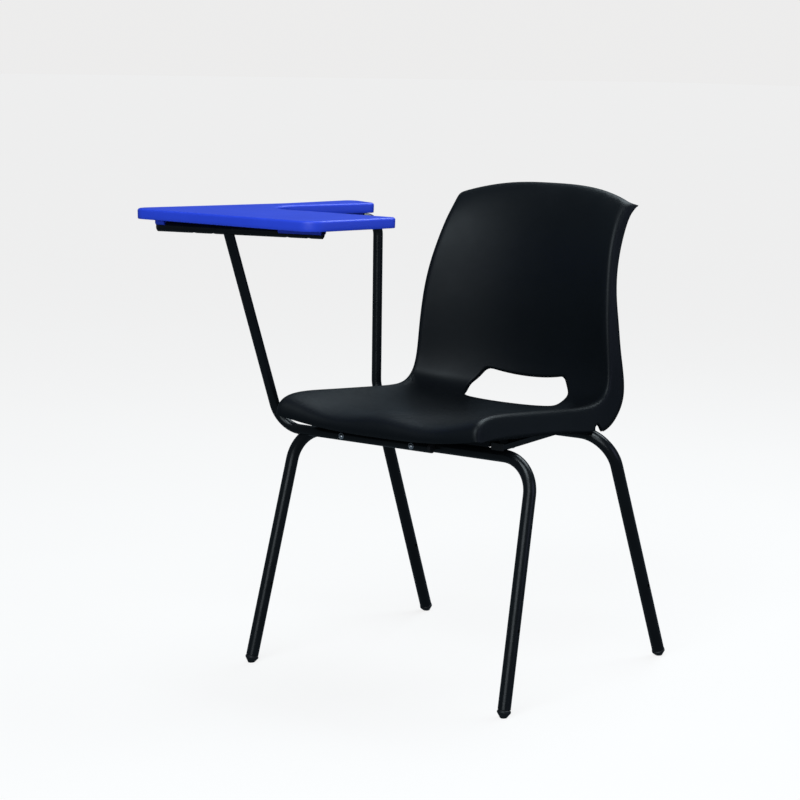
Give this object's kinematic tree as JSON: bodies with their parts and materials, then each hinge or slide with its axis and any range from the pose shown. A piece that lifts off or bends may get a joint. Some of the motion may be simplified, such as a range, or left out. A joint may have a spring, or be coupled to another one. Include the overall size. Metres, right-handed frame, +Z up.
{
  "type": "student desk chair",
  "caption": "Student chair with a moulded one-piece seat and back on a bent tube leg frame, and a fixed writing board on a tube arm at the sitter's right.",
  "frame": {"origin": "middle of the overall bounding box, at the floor", "axes": "+Z up, -Y the way the sitter looks, +X towards the sitter's left; the writing board is at -X"},
  "size_m": [0.75, 0.631, 0.842],
  "materials": {
    "shell": "fine matt grain, black with a faint blue tint",
    "board": "royal blue, semi-gloss",
    "frame_coat": "black powder coat, semi-gloss",
    "black_plugs": "matt black",
    "glide": "matt black",
    "zinc": "bright zinc plate"
  },
  "bodies": {
    "root": {"seat_shell": "shell", "front_leg_frame": "frame_coat", "rear_leg_frame": "frame_coat", "left_seat_rail": "frame_coat", "right_seat_rail": "frame_coat", "seat_rail_plugs": "black_plugs", "seat_screws": "zinc", "seat_washers": "zinc", "front_left_glide": "glide", "front_right_glide": "glide", "rear_left_glide": "glide", "rear_right_glide": "glide", "arm_front_tube": "frame_coat", "arm_rear_tube": "frame_coat", "arm_crossbar": "frame_coat", "arm_tube_plugs": "black_plugs", "crossbar_caps": "black_plugs", "arm_bolts": "zinc", "arm_washers": "zinc", "arm_nuts": "zinc", "writing_board": "board", "board_screws": "zinc"}
  },
  "joints": []
}
